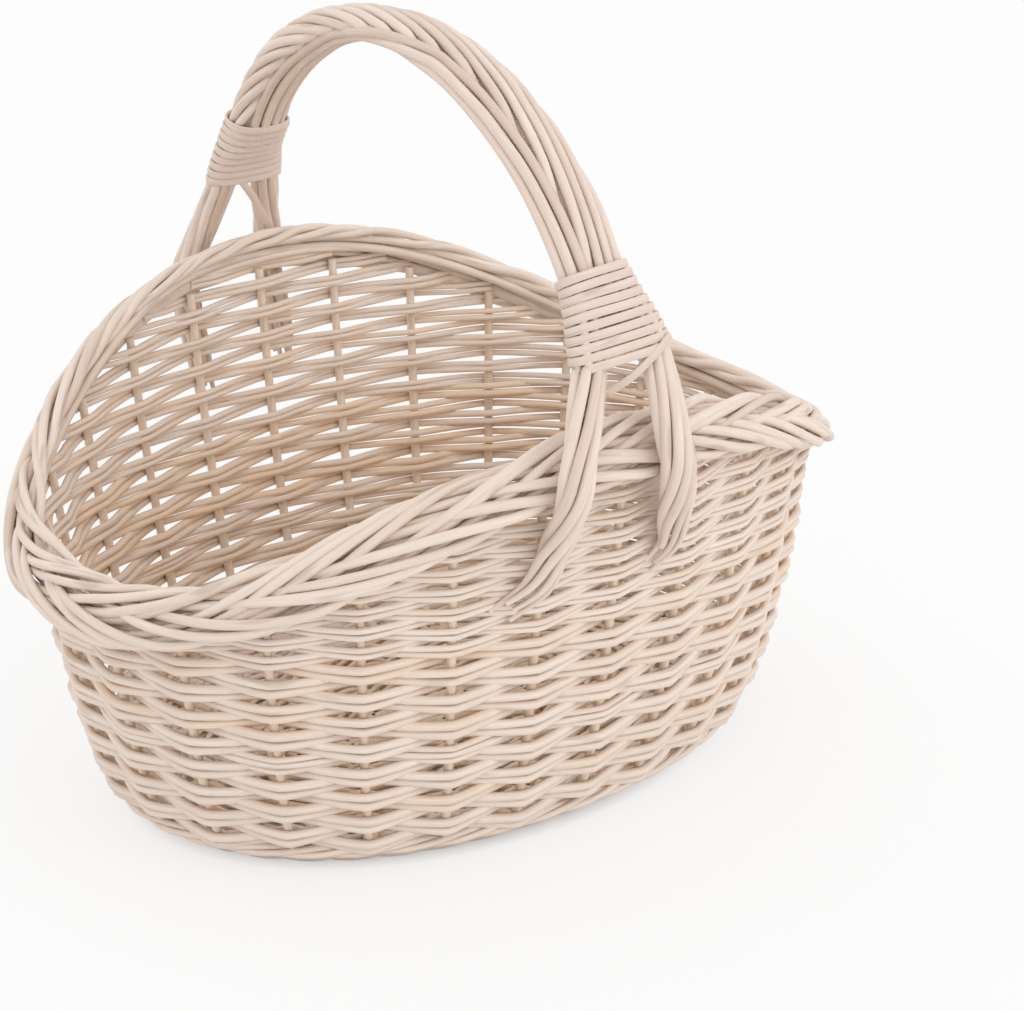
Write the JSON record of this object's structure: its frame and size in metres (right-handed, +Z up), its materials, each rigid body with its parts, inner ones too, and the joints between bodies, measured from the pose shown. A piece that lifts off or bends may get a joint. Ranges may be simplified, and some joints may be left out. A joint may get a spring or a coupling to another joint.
{
  "type": "wicker basket",
  "caption": "Oval wicker basket of peeled willow with a saddle-shaped plaited rim and a fixed twisted arch handle bound at both feet.",
  "frame": {"origin": "centre of the foot on the floor, under the middle of the basket", "axes": "+X along the oval's long way, +Y across it towards the far handle foot, +Z up"},
  "size_m": [0.3588, 0.3015, 0.3133],
  "materials": {
    "willow_stake": "bare peeled willow, matte",
    "willow_weaver": "bare peeled willow, matte",
    "willow_border": "bare peeled willow, matte",
    "willow_handle": "bare peeled willow, matte",
    "willow_skein": "split willow skein, satin",
    "willow_base": "bare peeled willow, matte"
  },
  "bodies": {
    "root": {"stake_01": "willow_stake", "stake_02": "willow_stake", "stake_03": "willow_stake", "stake_04": "willow_stake", "stake_05": "willow_stake", "stake_06": "willow_stake", "stake_07": "willow_stake", "stake_08": "willow_stake", "stake_09": "willow_stake", "stake_10": "willow_stake", "stake_11": "willow_stake", "stake_12": "willow_stake", "stake_13": "willow_stake", "stake_14": "willow_stake", "stake_15": "willow_stake", "stake_16": "willow_stake", "stake_17": "willow_stake", "stake_18": "willow_stake", "stake_19": "willow_stake", "stake_20": "willow_stake", "stake_21": "willow_stake", "stake_22": "willow_stake", "stake_23": "willow_stake", "stake_24": "willow_stake", "stake_25": "willow_stake", "stake_26": "willow_stake", "weave_row_01": "willow_weaver", "weave_row_02": "willow_weaver", "weave_row_03": "willow_weaver", "weave_row_04": "willow_weaver", "weave_row_05": "willow_weaver", "weave_row_06": "willow_weaver", "weave_row_07": "willow_weaver", "weave_row_08": "willow_weaver", "weave_row_09": "willow_weaver", "weave_row_10": "willow_weaver", "weave_row_11": "willow_weaver", "weave_row_12": "willow_weaver", "weave_row_13": "willow_weaver", "weave_row_14": "willow_weaver", "weave_row_15": "willow_weaver", "packing_far": "willow_weaver", "packing_near": "willow_weaver", "foot_wale": "willow_weaver", "border_strand_01": "willow_border", "border_strand_02": "willow_border", "border_strand_03": "willow_border", "handle_strand_01": "willow_handle", "handle_strand_02": "willow_handle", "handle_strand_03": "willow_handle", "handle_strand_04": "willow_handle", "binding_near": "willow_skein", "binding_far": "willow_skein", "base_slath": "willow_base", "base_row_01": "willow_base", "base_row_02": "willow_base", "base_row_03": "willow_base", "base_row_04": "willow_base"}
  },
  "joints": []
}
